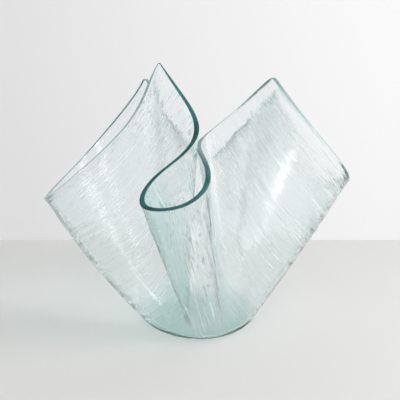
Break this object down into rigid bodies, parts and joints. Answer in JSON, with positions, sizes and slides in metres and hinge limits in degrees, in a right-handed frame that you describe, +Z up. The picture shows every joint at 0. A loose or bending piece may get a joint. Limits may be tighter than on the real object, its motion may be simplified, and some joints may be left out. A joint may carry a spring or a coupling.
{
  "type": "handkerchief vase",
  "caption": "Glass vase slumped from a square sheet into a ruffled handkerchief shape over a flat round foot.",
  "frame": {"origin": "middle of the round foot, on the surface that the vase stands on", "axes": "+Z up, out of the mouth; -Y towards the front fold that closes to a loop; +X towards the right-hand crest"},
  "size_m": [0.2079, 0.1857, 0.1793],
  "materials": {
    "aqua_glass": "clear rolled glass with a fine one-way streak"
  },
  "bodies": {
    "root": {"glass_vase": "aqua_glass"}
  },
  "joints": []
}
